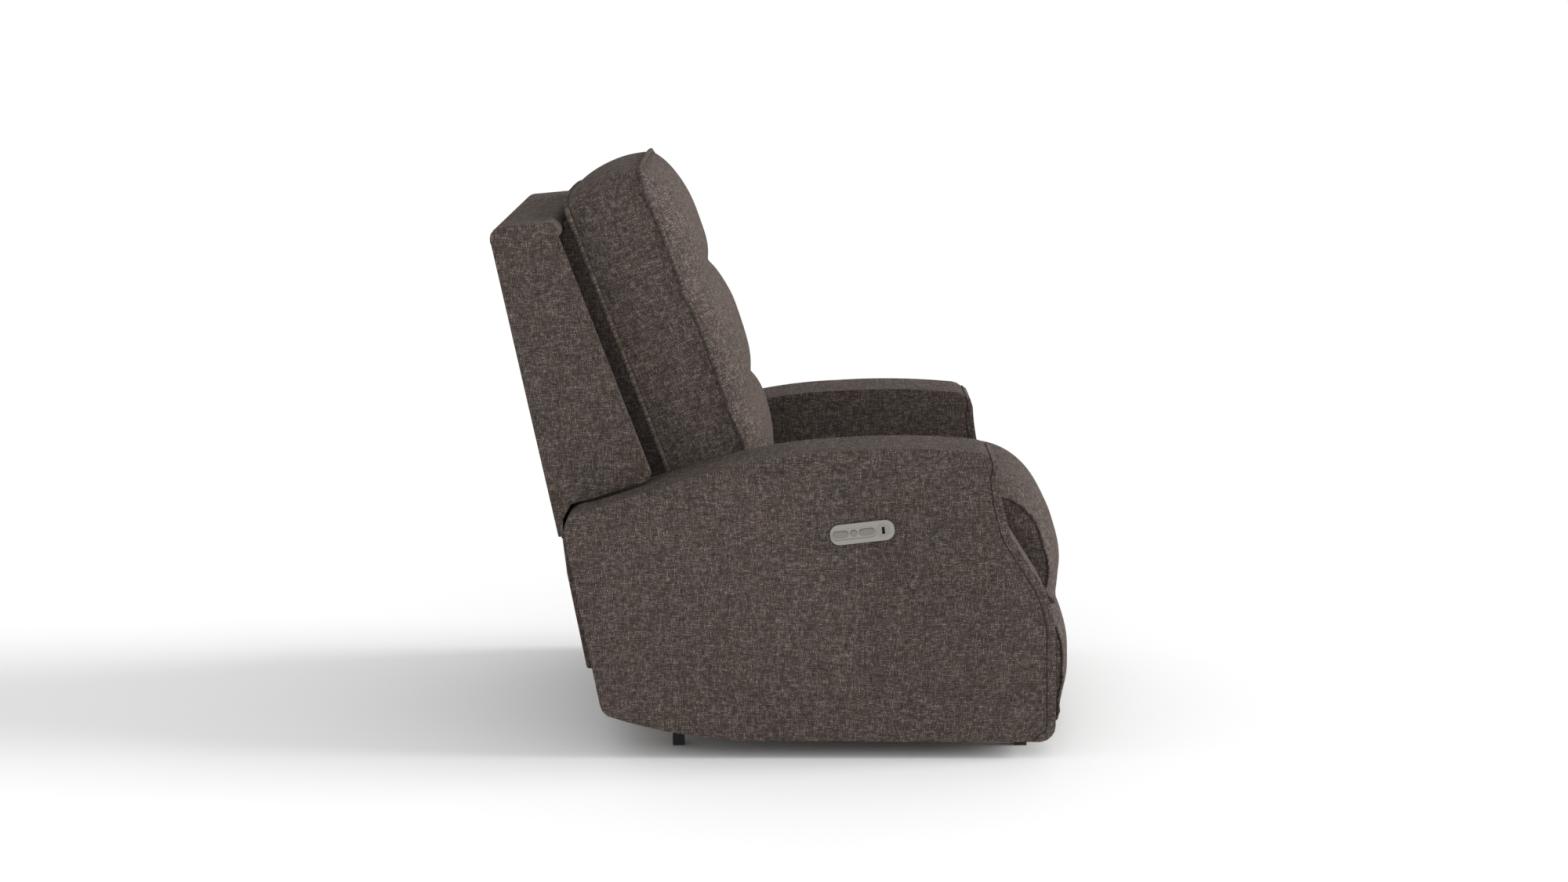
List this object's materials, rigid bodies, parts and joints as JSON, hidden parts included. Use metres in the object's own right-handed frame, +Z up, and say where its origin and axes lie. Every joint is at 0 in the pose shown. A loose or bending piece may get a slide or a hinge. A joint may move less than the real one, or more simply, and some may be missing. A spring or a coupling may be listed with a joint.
{
  "type": "recliner armchair",
  "caption": "Upholstered power recliner armchair with a fold-out footrest, a reclining back, a tilting headrest and a side control plate.",
  "frame": {"origin": "on the floor under the middle of the chair at rest", "axes": "+Z up, the chair faces -Y, +X is the sitter's left"},
  "size_m": [0.8686, 1.0302, 1.0338],
  "materials": {
    "upholstery_fabric": "charcoal-brown tweed weave",
    "frame_wood": "sawn hardwood",
    "black_steel": "black powder coat",
    "zinc_steel": "zinc plated",
    "black_plastic": "satin moulded",
    "actuator_plastic": "glass-filled nylon",
    "foot_plastic": "matte",
    "satin_nickel": "satin nickel",
    "button_nickel": "satin nickel",
    "webbing": "elastic webbing"
  },
  "bodies": {
    "base": {"arm_frame_right": "frame_wood", "arm_frame_left": "frame_wood", "arm_cover_right": "upholstery_fabric", "arm_cover_left": "upholstery_fabric", "feet": "foot_plastic", "front_cross_rail": "frame_wood", "rear_cross_rail": "frame_wood", "guide_plate_right": "black_steel", "guide_plate_left": "black_steel", "control_bezel": "satin_nickel", "control_housing": "black_plastic", "usb_module": "black_plastic", "power_inlet": "black_plastic", "recline_actuator": "actuator_plastic", "rail_bolts": "zinc_steel"},
    "seat_carriage": {"side_plate_right": "black_steel", "side_plate_left": "black_steel", "glide_pins": "black_plastic", "back_hinge_pins": "zinc_steel", "footrest_hinge_pins": "zinc_steel", "seat_frame": "frame_wood", "seat_springs": "zinc_steel", "seat_cushion": "upholstery_fabric", "footrest_motor": "actuator_plastic", "motor_hanger": "black_steel", "drive_channel": "black_steel", "lead_screw": "zinc_steel", "recline_rod": "zinc_steel"},
    "drive_nut": {"drive_nut": "actuator_plastic"},
    "front_links": {"front_link_right": "black_steel", "front_link_left": "black_steel", "drive_cross_tube": "black_steel", "knee_pins": "zinc_steel"},
    "carry_links": {"carry_link_right": "black_steel", "carry_link_left": "black_steel", "ankle_pins": "zinc_steel"},
    "footrest": {"footrest_bracket_right": "black_steel", "footrest_bracket_left": "black_steel", "footrest_board": "frame_wood", "footrest_pad": "upholstery_fabric"},
    "backrest": {"back_bracket_right": "black_steel", "back_bracket_left": "black_steel", "back_cam_pins": "zinc_steel", "back_frame": "frame_wood", "back_webbing": "webbing", "lower_back_cushion": "upholstery_fabric", "back_shell": "upholstery_fabric", "back_lower_panel": "upholstery_fabric", "headrest_hinges": "black_steel", "headrest_actuator": "actuator_plastic"},
    "headrest_rod": {"headrest_rod": "zinc_steel"},
    "headrest": {"headrest_board": "frame_wood", "headrest_arms": "black_steel", "head_cushion": "upholstery_fabric", "headrest_lug": "black_steel", "headrest_lug_pin": "zinc_steel"},
    "recline_rocker": {"recline_rocker": "button_nickel"},
    "headrest_rocker": {"headrest_rocker": "button_nickel"},
    "home_button": {"home_button": "button_nickel"}
  },
  "joints": [
    {"name": "back_recline", "type": "hinge", "parent": "seat_carriage", "child": "backrest", "pos_m": [0, 0.28, 0.285], "axis": [-1, 0, 0], "range_deg": [0, 32]},
    {"name": "seat_slide", "type": "slide", "parent": "base", "child": "seat_carriage", "axis": [0, -0.7682, 0.6402], "range_m": [0, 0.03124]},
    {"name": "headrest_tilt", "type": "hinge", "parent": "backrest", "child": "headrest", "pos_m": [0, 0.18777, 0.81524], "axis": [1, 0, 0], "range_deg": [0, 30]},
    {"name": "headrest_rod_slide", "type": "slide", "parent": "backrest", "child": "headrest_rod", "axis": [0, 0.3535, 0.9354], "range_m": [0, 0.08392]},
    {"name": "footrest_extend", "type": "hinge", "parent": "seat_carriage", "child": "front_links", "pos_m": [0, -0.4, 0.185], "axis": [-1, 0, 0], "range_deg": [0, 108.3]},
    {"name": "footrest_knee", "type": "hinge", "parent": "front_links", "child": "carry_links", "pos_m": [0, -0.36503, 0.03708], "axis": [-1, 0, 0], "range_deg": [-152.6, 0]},
    {"name": "footrest_ankle", "type": "hinge", "parent": "carry_links", "child": "footrest", "pos_m": [0, -0.40323, 0.2537], "axis": [-1, 0, 0], "range_deg": [0, 132.3]},
    {"name": "drive_nut_slide", "type": "slide", "parent": "seat_carriage", "child": "drive_nut", "axis": [0, -1, 0], "range_m": [0, 0.07781]},
    {"name": "recline_rocker_tilt", "type": "hinge", "parent": "base", "child": "recline_rocker", "pos_m": [-0.429, -0.09924, 0.4057], "axis": [0, 0.1132, 0.9936], "range_deg": [-4, 4], "stiffness_Nm_per_rad": 0.05},
    {"name": "headrest_rocker_tilt", "type": "hinge", "parent": "base", "child": "headrest_rocker", "pos_m": [-0.429, -0.14495, 0.41091], "axis": [0, 0.1132, 0.9936], "range_deg": [-4, 4], "stiffness_Nm_per_rad": 0.05},
    {"name": "home_button_press", "type": "slide", "parent": "base", "child": "home_button", "axis": [1, 0, 0], "range_m": [0, 0.0012], "stiffness_N_per_m": 600}
  ],
  "couplings": [
    {"joint": "seat_slide", "follows": "back_recline", "m_per_rad": 0.055936},
    {"joint": "headrest_rod_slide", "follows": "headrest_tilt", "m_per_rad": 0.16028},
    {"joint": "footrest_knee", "follows": "footrest_extend", "ratio": -1.409},
    {"joint": "footrest_ankle", "follows": "footrest_extend", "ratio": 1.2216},
    {"joint": "drive_nut_slide", "follows": "footrest_extend", "m_per_rad": 0.041166}
  ]
}
